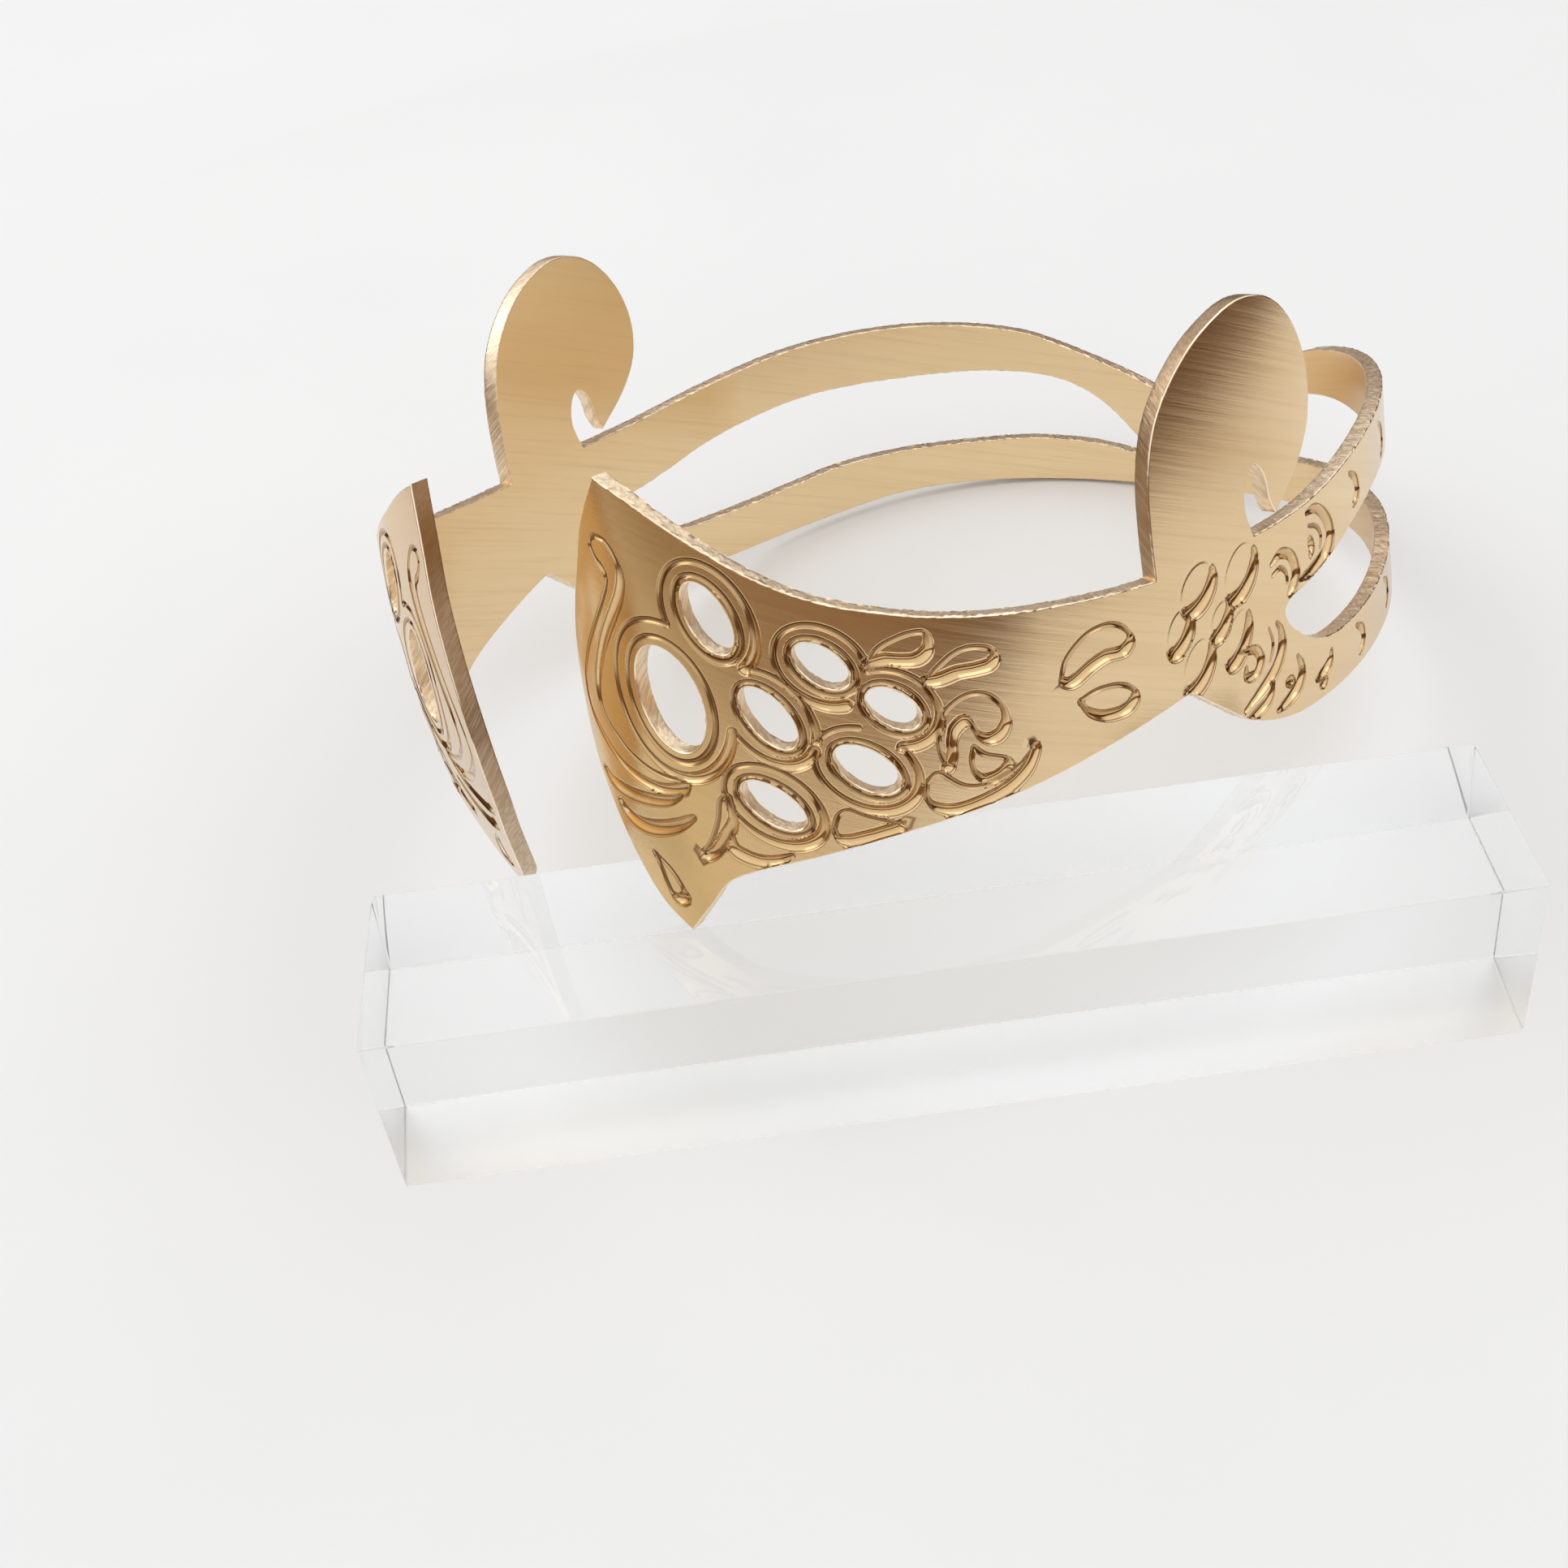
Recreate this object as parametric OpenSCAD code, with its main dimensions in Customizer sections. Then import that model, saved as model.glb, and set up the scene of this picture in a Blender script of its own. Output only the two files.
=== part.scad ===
// Costume crown: one sheet of brass, cut to an outline and bent round the head,
// propped on a clear display block. All sizes are in millimetres.
// The outline is drawn on the flat sheet: u runs along the sheet from the middle of the
// back, positive on the right half and negative on the left, and z is the height.

/* [Metal sheet] */
// Thickness of the sheet
sheet_t = 3; // [2:0.5:3]
// Lean of the wall at the back in degrees, negative where the top leans inwards
lean_back = -3; // [-5:0.5:-2]
// Lean of the right panel at its front edge in degrees
lean_right = -1; // [-2:0.5:1]
// Lean of the left panel at its front edge in degrees
lean_left = 6; // [5:0.5:7]
// How far the left panel bulges outwards at half its height
bow_left = 8; // [6:0.5:9]

/* [Pose on the block] */
// Forward tilt of the crown in degrees
tilt_forward = -11; // [-11.5:0.5:-10.5]
// Sideways tilt of the crown in degrees
tilt_side = -8.5; // [-9:0.5:-8]

/* [Display block] */
// Length of the block
block_l = 192; // [150:1:200]
// Width of the block
block_w = 36; // [30:1:36]
// Height of the block
block_h = 35; // [30:1:35]
// Turn of the block seen from above, in degrees
block_turn = 37.5; // [36:0.5:38]

/* [Hidden] */

// Middle of the back of the crown, and the block's near left corner, from the part's origin
CROWN_AT = [-11.8, 123.1, 20.45];
BLOCK_AT = [-43.1, -124.9, 0];

// Where the front edge of the panels lies along the sheet, and the end of the bent blank
FRONT_U = 292;
CUT_U = 294;
// Heights of the blank, and of the room that is cut away below and above it
BLANK_Z = [-28, 66];
ROOM_Z = [-32, 70];
// Facets of the blank along each half of the sheet and up it
BLANK_STEPS_U = 50;
BLANK_STEPS_Z = 7;
// Middle and half of the height over which the left panel bulges
BOW_MID = 15;
BOW_HALF = 38;
// How far the cutting tools reach to each side of the sheet's middle
CUT_REACH = sheet_t / 2 + 4;
// Facets of an oval hole on each of its two long sides
OVAL_STEPS = 8;

// Arcs of the bent sheet, from the middle of the back to the front edge.
// Columns: length of the arc, turn of the right half, turn of the left half
RIGHT = 1;
LEFT = 2;
BENDS = [
    [51, 46.5, 39],
    [51, 33.5, 30],
    [51, 19.5, 21.5],
    [51, 15.5, 20],
    [28, 24.5, 21],
    [28, 28.5, 23.5],
    [36, 60, 3.5]
];

// Top edge of the panel, from the foot of the horn to past the tip. Columns: u, z
PANEL_TOP = [
    [180.8, 21.9], [190, 22.9], [200, 24.3], [210, 26], [221, 28.3], [230, 30.8],
    [239, 33.8], [248, 38.2], [257, 43.9], [266, 49.7], [273.3, 53.2], [283, 57.5], [CUT_U, 62]
];

// Front edge of the panel, from above the tip to below the point. Columns: u, z
PANEL_FRONT = [
    [259, 70], [273.3, 53.2], [278.5, 45], [282, 37], [286, 29], [289, 21.5], [290, 13.5],
    [288, 4], [282.5, -5], [277, -13], [272, -19.5], [266.5, -23.9], [257, -31]
];

// Bottom edge of the panel, from below the point to the corner under the neck. Columns: u, z
PANEL_BOTTOM = [
    [272, -31.5], [266.5, -23.9], [262, -18.2], [258.3, -13.6], [253, -11.2], [243, -8.8],
    [230, -6.4], [212, -4.4], [193, -2.4], [174.6, 0]
];

// Bottom edge of the lower rail, from the corner under the neck to the back. Columns: u, z
RAIL_BOTTOM = [
    [174.6, 0], [167, -5.8], [159, -11.4], [149, -15], [138, -16.6], [115, -17.6],
    [92, -16.8], [69, -15.1], [50, -15.7], [31, -17.2], [13, -18.4], [0, -18.8]
];

// Top edge of the upper rail, from the back towards the neck. Columns: u, z
RAIL_TOP = [
    [0, 2.5], [6, 4.6], [12, 7.6], [19, 11], [28, 15.3], [37, 19.2], [48, 22], [60, 24],
    [72, 25.1], [84, 25.4], [96, 25.1], [108, 24.1], [120, 22.9]
];

// Slot under the hook of the horn and the notch in front of it.
// Columns: u, bottom of the slot, top of the slot
HOOK_SLOT = [
    [124, 22.5, 27], [132, 21.7, 26.5], [140, 21.2, 26], [145, 21.1, 24.6], [148, 21.1, 23.25],
    [149.2, 21.1, 22.9], [150.8, 21.1, 25.6], [151.6, 21.1, 29], [152.8, 21.1, 31.5],
    [154.6, 21.1, 33], [156, 21.2, 32.7], [157.3, 24.2, 31], [158, 26.5, 28.6]
];

// Outline of the horn, from the tip of its hook over the top to its foot.
// Columns: u, z, bearing in which the sheet is cut away
HORN = [
    [149.2, 22.9, 173], [143.4, 27.1, 175], [139.6, 31, 178], [137.2, 35, 180], [136.3, 39.5, 180],
    [136.6, 44, 176], [138.3, 49, 166], [141.2, 53.5, 150], [145.4, 57.4, 130], [150.5, 59.9, 110],
    [157, 60.8, 92], [163.5, 59.4, 74], [170, 56.3, 60], [175.8, 51.2, 46], [179.3, 45.5, 34],
    [181, 38, 26], [181.2, 30, 22], [180.8, 21.9, 20]
];

// Eye-shaped opening between the rails. Columns: u, bottom, top
EYE = [
    [9.5, -11, -10.5], [11, -11, -8], [13.5, -10.7, -5], [17.5, -9.6, -0.4], [23, -8.3, 4.2],
    [30, -7.2, 7.8], [39, -6.2, 10.1], [51, -5.7, 11.7], [68, -4.9, 12.8], [84, -5.1, 13.6],
    [95, -6.2, 13.5], [107, -7.1, 12.4], [119, -7.2, 10.7], [131, -6.4, 8.2], [139, -3.9, 6.9],
    [144, -0.7, 6.4], [146.8, 2, 5.8], [148, 4.2, 4.8]
];

// Oval holes in each panel. Columns: u, z, half length, half width, tilt of the long axis
OVALS = [
    [264.5, 18, 9.1, 5.7, 76],
    [256, 32, 6.2, 3.2, 67],
    [239.5, 23.5, 5, 2.7, 45],
    [248.5, 15.5, 6, 3, 57],
    [229.5, 15, 4.9, 2.6, 43],
    [234.5, 5.5, 5.9, 3, 43],
    [249.5, 0.5, 5.8, 2.9, 41]
];

// Place and heading [x, y, heading] after the distance w along an arc that starts at p
function along(p, w, length, turn) =
    let (r = length / (turn * PI / 180), a = p[2] + turn * w / length)
    [p[0] + r * (sin(a) - sin(p[2])), p[1] + r * (cos(a) - cos(p[2])), a];

// Place and heading at the distance w from the middle of the back, on one half of the plan
function plan(w, half, i = 0, p = [0, 0, 0]) =
    let (length = BENDS[i][0], turn = BENDS[i][half])
    w <= length || i == len(BENDS) - 1
        ? along(p, w, length, turn)
        : plan(w - length, half, i + 1, along(p, length, length, turn));

// Point in space at u along the sheet, z up it, and d outside the middle of its thickness
function on_sheet(u, z, d) =
    let (
        q = plan(abs(u), u < 0 ? LEFT : RIGHT),
        share = abs(u) / FRONT_U,
        lean = lean_back + ((u < 0 ? lean_left : lean_right) - lean_back) * pow(share, 2),
        bow = u < 0 ? bow_left * pow(share, 4) * (1 - pow((z - BOW_MID) / BOW_HALF, 2)) : 0,
        out = d * cos(lean) + z * sin(lean) + bow
    )
    [sign(u) * (q[0] + out * sin(q[2])), q[1] + out * cos(q[2]), z * cos(lean) - d * sin(lean)];

// Row at the share t of the way from row i to the next, on a smooth curve through all rows
function between(rows, i, t) =
    let (
        a = rows[max(i - 1, 0)],
        b = rows[i],
        c = rows[i + 1],
        d = rows[min(i + 2, len(rows) - 1)]
    )
    (2 * b + (c - a) * t + (2 * a - 5 * b + 4 * c - d) * t * t + (3 * b - a - 3 * c + d) * pow(t, 3)) / 2;

// Rows of a table with n steps between each two
function smooth(rows, n) = [
    for (i = [0 : len(rows) - 2], k = [0 : n - 1]) between(rows, i, k / n),
    rows[len(rows) - 1]
];

// Points from a to b in n steps
function across(a, b, n) = [for (k = [0 : n]) a + (b - a) * k / n];

function reversed(list) = [for (i = [len(list) - 1 : -1 : 0]) list[i]];

// The same stations on the other half of the sheet
function mirrored(grid) = [for (row = reversed(grid)) [for (p = row) [-p.x, p.y]]];

// Solid through the sheet between two depths. The grid is a list of stations, each a list of
// [u, z], whose stations and points turn the same way as u and z
module patch(grid, inner, outer) {
    rows = len(grid);
    cols = len(grid[0]);
    side = rows * cols;
    last_r = rows - 1;
    last_c = cols - 1;
    points = [for (d = [outer, inner], row = grid, p = row) on_sheet(p.x, p.y, d)];
    faces = [
        for (r = [0 : rows - 2], c = [0 : cols - 2])
            let (a = r * cols + c, b = a + 1, d = a + cols, e = d + 1)
            each [[a, d, e], [a, e, b], [side + a, side + e, side + d], [side + a, side + b, side + e]],
        for (c = [0 : cols - 2])
            let (a = c, b = c + 1, d = last_r * cols + c, e = d + 1)
            each [[a, b, side + b], [a, side + b, side + a], [e, d, side + d], [e, side + d, side + e]],
        for (r = [0 : rows - 2])
            let (a = r * cols, d = a + cols, b = a + last_c, e = d + last_c)
            each [[d, a, side + a], [d, side + a, side + d], [b, e, side + e], [b, side + e, side + b]]
    ];
    polyhedron(points, faces);
}

// Tool that cuts right through the sheet
module cutter(grid) {
    patch(grid, -CUT_REACH, CUT_REACH);
}

// The same tool on both halves
module cutters(grid) {
    cutter(grid);
    cutter(mirrored(grid));
}

module blank() {
    patch([
        for (i = [-BLANK_STEPS_U : BLANK_STEPS_U])
            let (u = FRONT_U * i / BLANK_STEPS_U)
            across([u, BLANK_Z[0]], [u, BLANK_Z[1]], BLANK_STEPS_Z)
    ], -sheet_t / 2, sheet_t / 2);
}

// Room above the panel, leaning forwards so that it stays clear of the horn
module room_above_panel() {
    cutters([for (p = smooth(PANEL_TOP, 2)) across(p, [min(p.x + 10, CUT_U + 4), ROOM_Z[1]], 3)]);
}

module room_before_panel() {
    cutters([for (p = smooth(PANEL_FRONT, 2)) across(p, [CUT_U + 4, p.y], 4)]);
}

// Room below the panels and the lower rail, in one piece from tip to tip
module room_below() {
    panel = [for (p = smooth(PANEL_BOTTOM, 2)) if (p.x > RAIL_BOTTOM[0].x) p];
    half = reversed(concat(panel, smooth(RAIL_BOTTOM, 2)));
    right = [for (p = half) across([p.x, ROOM_Z[0]], p, 2)];
    left = mirrored([for (station = right) if (station[0].x > 0) station]);
    cutter(concat(left, right));
}

// Room above the upper rail, which passes under the hooks and ends in the notches
module room_above_rail() {
    rail = [for (p = smooth(RAIL_TOP, 2)) across(p, [p.x, ROOM_Z[1]], 3)];
    slot = [for (s = HOOK_SLOT) across([s[0], s[1]], [s[0], s[2]], 3)];
    right = concat(rail, slot);
    left = mirrored([for (station = right) if (station[0].x > 0) station]);
    cutter(concat(left, right));
}

module room_round_horn() {
    reach = 34;
    cutters([
        for (p = smooth(HORN, 2))
            across([p.x, p.y], [p.x + reach * cos(p[2]), p.y + reach * sin(p[2])], 5)
    ]);
}

module eyes() {
    cutters([for (e = smooth(EYE, 2)) across([e[0], e[1]], [e[0], e[2]], 2)]);
}

// Oval hole: a hull over stations that run from its lower to its upper long side
module oval(row, half) {
    stations = [
        for (i = [0 : OVAL_STEPS])
            let (
                t = 180 * i / OVAL_STEPS,
                x = -row[2] * cos(t),
                y = max(row[3] * sin(t), 0.02),
                across_u = -sin(row[4]) * y,
                across_z = cos(row[4]) * y,
                mid = [row[0] + x * cos(row[4]), row[1] + x * sin(row[4])]
            )
            [mid - [across_u, across_z], mid + [across_u, across_z]]
    ];
    hull() cutter(half == RIGHT ? stations : mirrored(stations));
}

module crown() {
    color("goldenrod")
    translate(CROWN_AT) rotate([tilt_forward, tilt_side, 0])
    difference() {
        blank();
        room_above_panel();
        room_before_panel();
        room_below();
        room_above_rail();
        room_round_horn();
        eyes();
        for (row = OVALS, half = [RIGHT, LEFT]) oval(row, half);
    }
}

module display_block() {
    color([0.85, 0.92, 0.95, 0.5])
    translate(BLOCK_AT) rotate([0, 0, block_turn]) cube([block_l, block_w, block_h]);
}

crown();
display_block();
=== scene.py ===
import math

import bpy
import numpy as np
from mathutils import Matrix, Vector
from mathutils.geometry import delaunay_2d_cdt


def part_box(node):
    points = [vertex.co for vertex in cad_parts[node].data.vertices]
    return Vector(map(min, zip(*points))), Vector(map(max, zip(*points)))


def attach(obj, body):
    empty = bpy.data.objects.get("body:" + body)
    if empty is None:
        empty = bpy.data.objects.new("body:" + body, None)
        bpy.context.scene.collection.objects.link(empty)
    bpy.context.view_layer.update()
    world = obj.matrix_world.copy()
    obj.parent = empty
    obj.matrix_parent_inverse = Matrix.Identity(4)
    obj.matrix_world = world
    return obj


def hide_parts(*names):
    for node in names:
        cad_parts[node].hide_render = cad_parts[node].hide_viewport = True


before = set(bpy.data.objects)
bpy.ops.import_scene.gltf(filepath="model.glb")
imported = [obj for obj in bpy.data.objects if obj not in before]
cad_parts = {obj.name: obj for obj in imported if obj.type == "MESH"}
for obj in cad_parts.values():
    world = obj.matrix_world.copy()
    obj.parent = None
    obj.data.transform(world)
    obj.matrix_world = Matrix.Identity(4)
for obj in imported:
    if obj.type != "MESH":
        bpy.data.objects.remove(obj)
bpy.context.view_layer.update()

# ---------------------------------------------------------------------------------------------
# Crown: the flat pattern
# The real crown is one plate of brass, 3 mm thick, cut on a router to a mirror-symmetric outline.
# The pattern is drawn on the flat plate in millimetres: u runs along it from the middle of the
# back, z up it. Only one half is drawn, and the other is its mirror image.
# ---------------------------------------------------------------------------------------------

PLATE = 3.0

# Edges of the half, in the order of the outline. Columns: u, z
UPPER_RAIL_TOP = [
    (0, 2.5), (6, 4.6), (12, 7.6), (19, 11), (28, 15.3), (37, 19.2), (48, 22), (60, 24),
    (72, 25.1), (84, 25.4), (96, 25.1), (108, 24.1), (120, 22.9), (132, 21.7), (140, 21.2),
    (148, 21.1), (156, 21.2),
]
NOTCH = [
    (156, 21.2), (157.3, 24.2), (158, 26.5), (158, 28.6), (157.3, 31), (156, 32.7),
    (154.6, 33), (152.8, 31.5), (151.6, 29), (150.8, 25.6), (149.2, 22.9),
]
HORN = [
    (149.2, 22.9), (143.4, 27.1), (139.6, 31), (137.2, 35), (136.3, 39.5), (136.6, 44),
    (138.3, 49), (141.2, 53.5), (145.4, 57.4), (150.5, 59.9), (157, 60.8), (163.5, 59.4),
    (170, 56.3), (175.8, 51.2), (179.3, 45.5), (181, 38), (181.2, 30), (180.8, 21.9),
]
PANEL_TOP = [
    (180.8, 21.9), (190, 22.9), (200, 24.3), (210, 26), (221, 28.3), (230, 30.8),
    (239, 33.8), (248, 38.2), (257, 43.9), (266, 49.7), (273.3, 53.2),
]
PANEL_FRONT = [
    (273.3, 53.2), (278.5, 45), (282, 37), (286, 29), (289, 21.5), (290, 13.5), (288, 4),
    (282.5, -5), (277, -13), (272, -19.5), (266.5, -23.9),
]
PANEL_BOTTOM = [
    (266.5, -23.9), (262, -18.2), (258.3, -13.6), (253, -11.2), (243, -8.8), (230, -6.4),
    (212, -4.4), (193, -2.4), (174.6, 0),
]
LOWER_RAIL_BOTTOM = [
    (174.6, 0), (167, -5.8), (159, -11.4), (149, -15), (138, -16.6), (115, -17.6),
    (92, -16.8), (69, -15.1), (50, -15.7), (31, -17.2), (13, -18.4), (0, -18.8),
]
# Opening between the rails. Columns: u, bottom, top
EYE = [
    (9.5, -11, -10.5), (11, -11, -8), (13.5, -10.7, -5), (17.5, -9.6, -0.4), (23, -8.3, 4.2),
    (30, -7.2, 7.8), (39, -6.2, 10.1), (51, -5.7, 11.7), (68, -4.9, 12.8), (84, -5.1, 13.6),
    (95, -6.2, 13.5), (107, -7.1, 12.4), (119, -7.2, 10.7), (131, -6.4, 8.2), (139, -3.9, 6.9),
    (144, -0.7, 6.4), (146.8, 2, 5.8), (148, 4.2, 4.8),
]
# Oval holes. Columns: u, z, half length, half width, tilt of the long axis in degrees,
# and how far outside the hole's edge the two cut rings round it run
OVALS = [
    (264.5, 18, 9.1, 5.7, 76, 1.7, 4.4),
    (256, 32, 6.2, 3.2, 67, 1.3, 3.5),
    (239.5, 23.5, 5, 2.7, 45, 1.0, 3.0),
    (248.5, 15.5, 6, 3, 57, 1.0, 3.0),
    (229.5, 15, 4.9, 2.6, 43, 1.0, 3.0),
    (234.5, 5.5, 5.9, 3, 43, 1.0, 3.1),
    (249.5, 0.5, 5.8, 2.9, 41, 1.0, 2.9),
]


def smooth_curve(rows, n=8):
    """Points on a Catmull-Rom curve through the rows, n to a stretch, in any number of columns."""
    p = np.asarray(rows, float)
    q = np.concatenate([p[:1], p, p[-1:]])
    a, b, c, d = q[:-3, None], q[1:-2, None], q[2:-1, None], q[3:, None]
    t = (np.arange(n) / n)[None, :, None]
    out = (2 * b + (c - a) * t + (2 * a - 5 * b + 4 * c - d) * t**2 + (3 * b - a - 3 * c + d) * t**3) / 2
    return np.concatenate([out.reshape(-1, p.shape[1]), p[-1:]])


def even_steps(points, step):
    """The same path with points at even distances of about step along its first two columns."""
    reach = np.r_[0, np.cumsum(np.hypot(*np.diff(points[:, :2], axis=0).T))]
    n = max(2, int(round(reach[-1] / step)))
    at = np.linspace(0, reach[-1], n + 1)
    return np.stack([np.interp(at, reach, column) for column in points.T], 1)


def oval(u, z, long_half, short_half, tilt, step):
    """Closed ring: middle + long axis times cos t + short axis times sin t, with points about
    step apart, but never fewer than 12."""
    around = 2 * math.pi * math.hypot(long_half, short_half) / math.sqrt(2)
    t = np.linspace(0, 2 * math.pi, max(12, int(around / step)) + 1)[:-1]
    c, s = math.cos(math.radians(tilt)), math.sin(math.radians(tilt))
    x, y = long_half * np.cos(t), short_half * np.sin(t)
    return np.stack([u + x * c - y * s, z + x * s + y * c], 1)


# Distance between points on the outline and the eye, and round the oval holes
EDGE_STEP, HOLE_STEP = 0.6, 0.5
EDGES = (UPPER_RAIL_TOP, NOTCH, HORN, PANEL_TOP, PANEL_FRONT, PANEL_BOTTOM, LOWER_RAIL_BOTTOM)
outline = [even_steps(smooth_curve(edge), EDGE_STEP) for edge in EDGES]
outline_edge = np.concatenate([np.full(len(e) - 1, i) for i, e in enumerate(outline)] + [[len(EDGES) - 1]])
outline = np.concatenate([e[:-1] for e in outline] + [outline[-1][-1:]])
eye = smooth_curve(EYE)
eye = np.concatenate([eye[:, :2], eye[::-1][:, [0, 2]], eye[:1, :2]])
eye = even_steps(eye, EDGE_STEP)[:-1]
holes = [eye] + [oval(*row[:5], HOLE_STEP) for row in OVALS]


def inset(path, closed, amount):
    """The path moved by amount to the left of its own direction, along the mean of its two sides."""
    ahead = np.roll(path, -1, 0) - path
    if not closed:
        ahead[-1] = ahead[-2]
    ahead /= np.linalg.norm(ahead, axis=1)[:, None] + 1e-12
    behind = np.roll(ahead, 1, 0)
    if not closed:
        behind[0] = ahead[0]
    side = ahead + behind
    side = np.stack([-side[:, 1], side[:, 0]], 1)
    side /= np.linalg.norm(side, axis=1)[:, None] + 1e-12
    return path + side * np.broadcast_to(amount, len(path))[:, None]


# ---------------------------------------------------------------------------------------------
# Crown: the cut lines
# A ball-nosed cutter has drawn rings, a long band, drops and scrolls into the outer face. Each
# line is thin on its upper left side and wide and round on its lower right side.
# ---------------------------------------------------------------------------------------------

# Lines that close on themselves. Columns: u, z
BAND = [
    (275.4, 43.6), (272.8, 43.1), (270.8, 40.3), (270.4, 37.5), (271.4, 34.3), (273.3, 31.2),
    (275.5, 28), (277.6, 24.7), (279.7, 20.6), (281, 17.3), (281.1, 13.9), (279.9, 11.2),
    (277.5, 9.1), (274.8, 7), (271.4, 5.3), (268, 4.3), (264.2, 3.8), (264.4, 2.5), (268.5, 1.8),
    (272.8, 2.5), (276.6, 3.8), (279.6, 5.8), (282.7, 8.1), (285.4, 10.8), (286.4, 13.9),
    (285.7, 17.5), (282.7, 22.7), (278.9, 28), (275.9, 32.3), (274, 35.8), (273.9, 37.8),
    (275.6, 39.6), (276.6, 42),
]
DROP_A = [
    (232.9, 22.7), (231, 25.1), (228.5, 26.2), (225.9, 26.7), (223.7, 26.4), (223.2, 24.9),
    (223.6, 23.2), (225.2, 22.3), (227.6, 22.6), (230, 23.1),
]
DROP_B = [
    (224.3, 18.4), (222.2, 20.3), (219.4, 22), (216.8, 22.3), (213.9, 21.4), (212.9, 20),
    (213.5, 18.7), (215.8, 18.5), (219.1, 18.7), (221.8, 18.3),
]
COMMA = [
    (222.2, 3.5), (223.2, 6.6), (223.1, 9.3), (222, 12.5), (219.6, 14.3), (216.9, 14.7),
    (214.3, 13.6), (212.5, 11.3), (212.1, 8.6), (213.2, 6.8), (215, 6.5), (216.7, 7.6),
    (217.7, 9.6), (218.9, 10.5), (220.5, 9.4), (221.2, 7.5), (221.4, 5.5),
]
DROP_C = [
    (217.8, 5.9), (216, 4), (212.7, 2.4), (212.4, 0.9), (214.2, -0.2), (216.4, -0.1),
    (218, 1.6), (218.4, 3.9),
]
LONG_COMMA = [
    (225.9, 1.3), (224.6, 2.7), (223.3, 2.6), (221.6, 1), (219.8, -0.4), (217.2, -1.1),
    (214.4, -1), (211.5, 0), (209.2, 1.3), (207.3, 3), (208.8, 0), (211.2, -1.9),
    (214.2, -3.1), (218.9, -4), (222.2, -3.9), (224.8, -2.7), (226, -0.8),
]
DROP_D = [
    (240.6, -3.8), (239.8, -1.7), (238.2, -1.1), (235.3, -2.7), (230.5, -4.9), (233.4, -5.7),
    (236.2, -6.1), (238.4, -6.3), (240.1, -5.6),
]
LEAF = [
    (256.6, 2.2), (258.1, 1.2), (258.9, -2.3), (260.5, -6.1), (262.4, -9), (260.2, -8),
    (257.9, -5.1), (256.3, -2.1),
]
TIP_DROP = [
    (272.4, -10.6), (271.2, -13), (270.4, -15.6), (269.4, -17.8), (268, -18.4), (266.9, -17.7),
    (267.3, -15.8), (269.2, -13),
]
DROP_E = [
    (201.7, 11.9), (200.4, 15.2), (196.3, 17.9), (191.9, 18.3), (188.7, 16.9), (187.2, 14.5),
    (188.6, 12.8), (192.3, 13.1), (195.4, 12.5), (199.3, 11.1),
]
DROP_F = [
    (198.5, 7.4), (194.7, 8.1), (190.2, 7.4), (187.4, 5.6), (187.3, 3.8), (189.5, 2.7),
    (193.5, 3.2), (196.7, 5),
]
CLOSED_LINES = [
    BAND, DROP_A, DROP_B, COMMA, DROP_C, LONG_COMMA, DROP_D, LEAF, TIP_DROP, DROP_E, DROP_F,
]

# Oval rings at the foot of the horn, with no hole in them. Columns: u, z, half length, half
# width, tilt of the long axis in degrees
BLIND_OVALS = [
    (171.7, 17.8, 4.6, 3.4, 140), (160.6, 16.7, 5.1, 3.7, 130), (176.6, 11.8, 3.9, 2.6, 120),
    (166.5, 10.3, 3.3, 2.2, 125), (162.3, 5.5, 5, 2.8, 120), (172.7, 4.5, 4.7, 3.2, 125),
]

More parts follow.
